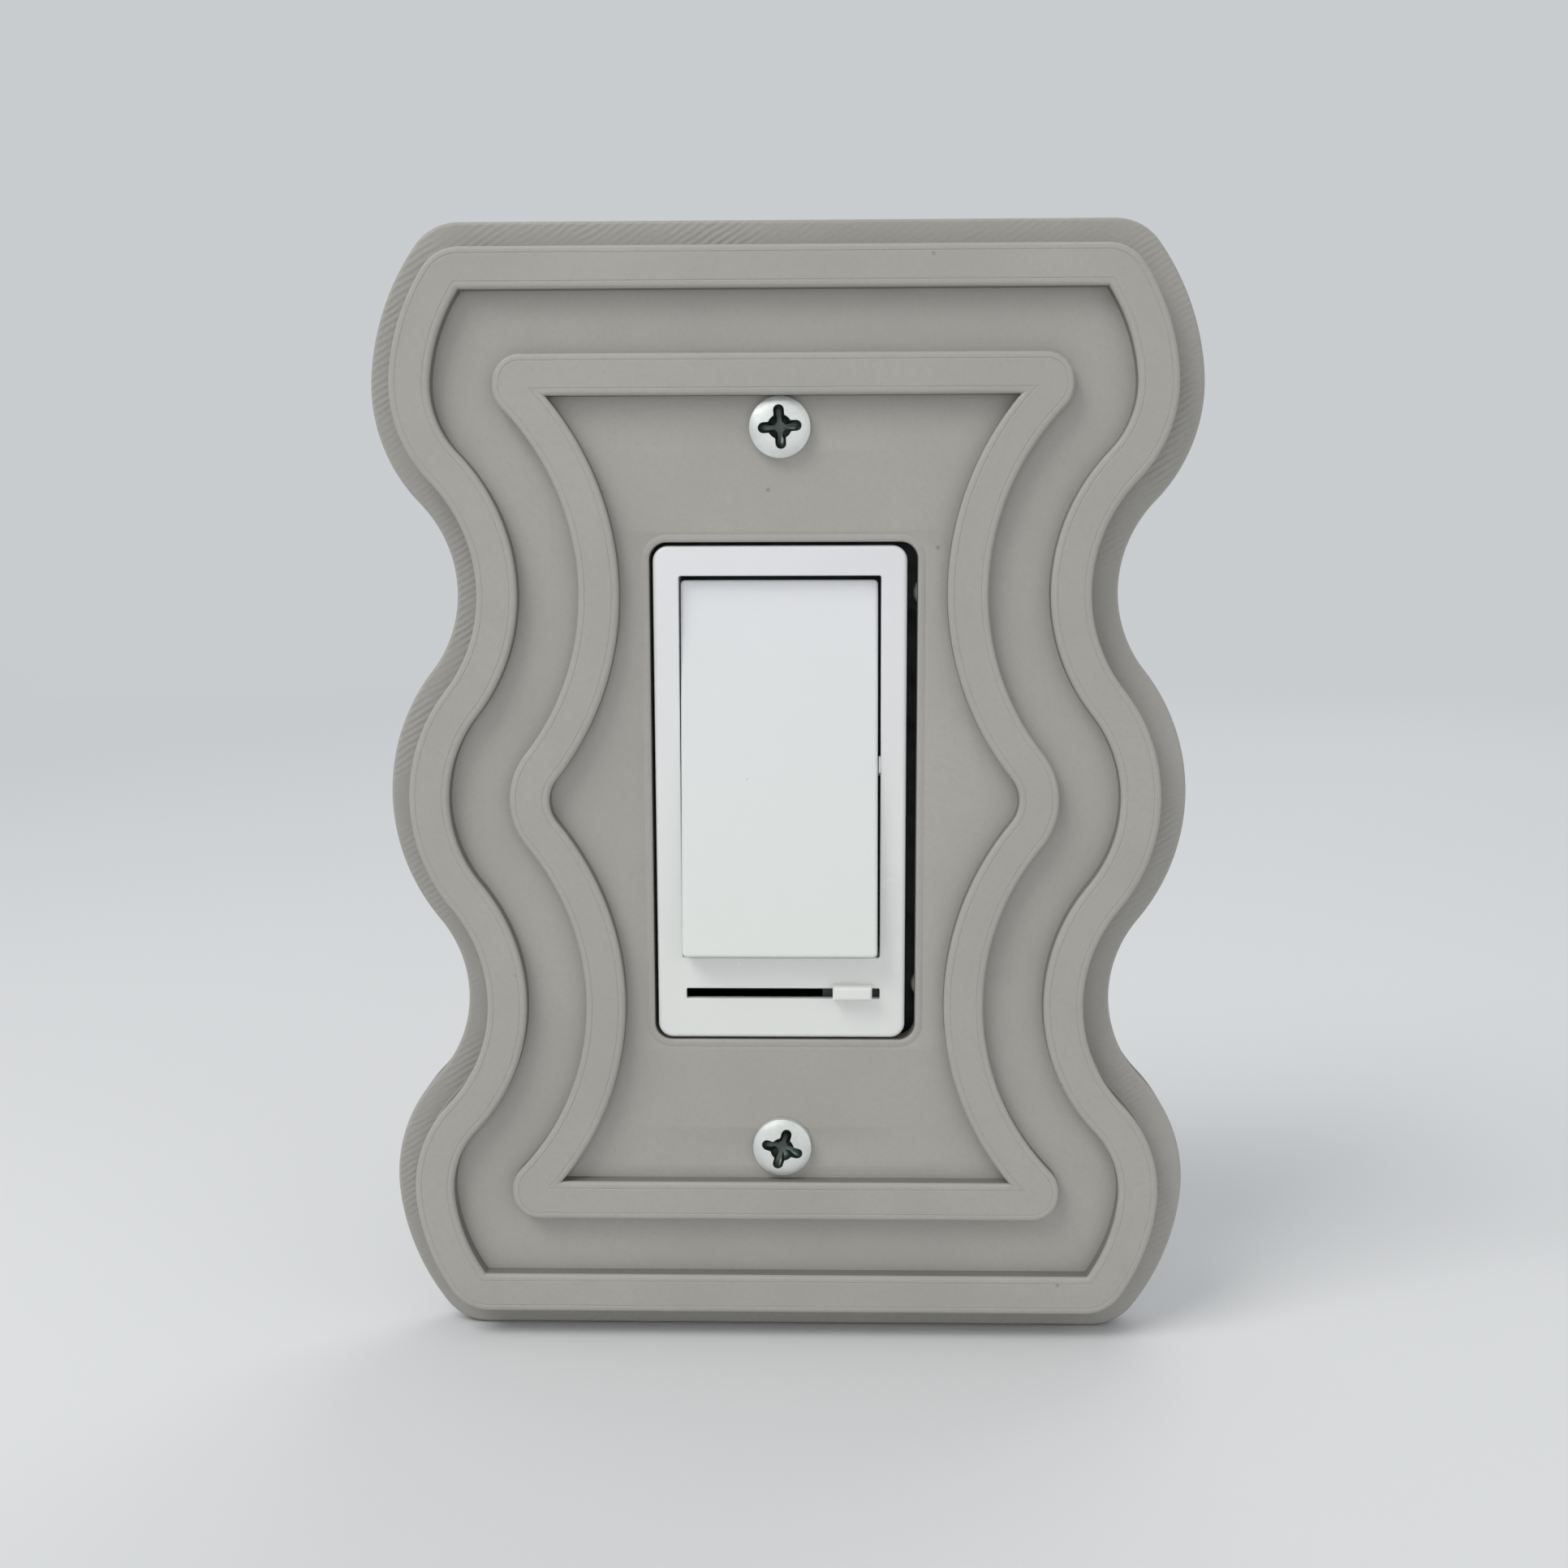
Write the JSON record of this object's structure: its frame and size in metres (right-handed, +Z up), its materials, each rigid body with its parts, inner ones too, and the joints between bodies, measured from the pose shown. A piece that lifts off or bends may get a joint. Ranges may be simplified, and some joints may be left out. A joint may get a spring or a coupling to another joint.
{
  "type": "paddle dimmer wall switch",
  "caption": "Single-gang wall switch with a rocking paddle and a brightness slider, in a wavy stepped wall plate with raised ribbons.",
  "frame": {"origin": "on the wall's surface, midway between the two wall box screws (and between the two plate screws)", "axes": "+Z up, -Y out of the wall towards the user, +X to the right as seen from the front; the body lies at +Y inside the wall"},
  "size_m": [0.109, 0.0382, 0.1504],
  "materials": {
    "printed_grey": "satin 3-D printed filament, fine layer lines",
    "face_white": "smooth moulded, semi-gloss",
    "paddle_white": "smooth moulded, satin",
    "carriage_black": "plain moulded",
    "nylon_white": "plain moulded",
    "screw_nickel": "nickel plated",
    "spring_steel": "bright drawn wire",
    "yoke_aluminium": "black anodised",
    "fibre_red": "vulcanised fibre",
    "housing_dark": "thermoset, slightly mottled",
    "brass_plain": "plain stamped",
    "contact_silver": "polished",
    "ground_green": "green dyed plating",
    "board_green": "solder mask",
    "epoxy_black": "moulded epoxy",
    "pad_grey": "silicone sheet",
    "ferrite_grey": "coated iron powder",
    "copper_enamel": "enamelled copper",
    "capacitor_ochre": "potted box",
    "resistor_tan": "lacquered"
  },
  "bodies": {
    "device": {"wall_plate": "printed_grey", "plate_screws": "screw_nickel", "bezel_frame": "face_white", "potentiometer": "carriage_black", "yoke": "yoke_aluminium", "box_screws": "screw_nickel", "retaining_washers": "fibre_red", "back_housing": "housing_dark", "housing_rivets": "screw_nickel", "terminal_plates": "brass_plain", "clamp_plates": "brass_plain", "terminal_screws": "brass_plain", "ground_screw": "ground_green", "rocker_bracket": "brass_plain", "rocker_axle": "spring_steel", "fixed_contact_upper": "brass_plain", "fixed_contact_lower": "brass_plain", "fixed_contact_tips": "contact_silver", "circuit_board": "board_green", "triac": "epoxy_black", "insulator_pad": "pad_grey", "triac_rivet": "yoke_aluminium", "choke_core": "ferrite_grey", "choke_winding": "copper_enamel", "film_capacitor": "capacitor_ochre", "small_resistors": "resistor_tan"},
    "paddle_body": {"paddle": "paddle_white", "plunger": "nylon_white", "plunger_spring": "spring_steel"},
    "slider_body": {"slider_knob": "face_white", "slider_carriage": "carriage_black", "wiper_lever": "spring_steel"},
    "rocker_body": {"contact_rocker": "brass_plain", "moving_contacts": "contact_silver"}
  },
  "joints": [
    {"name": "paddle_rock", "type": "hinge", "parent": "device", "child": "paddle_body", "pos_m": [0, -0.005, 0.0036], "axis": [1, 0, 0], "range_deg": [0, 9.8]},
    {"name": "slider_travel", "type": "slide", "parent": "device", "child": "slider_body", "axis": [1, 0, 0], "range_m": [-0.02, 0.001]},
    {"name": "contact_rock", "type": "hinge", "parent": "device", "child": "rocker_body", "pos_m": [0, 0.01, 0.0036], "axis": [1, 0, 0], "range_deg": [-16, 0]}
  ],
  "couplings": [
    {"joint": "contact_rock", "follows": "paddle_rock", "ratio": -1.6327}
  ]
}
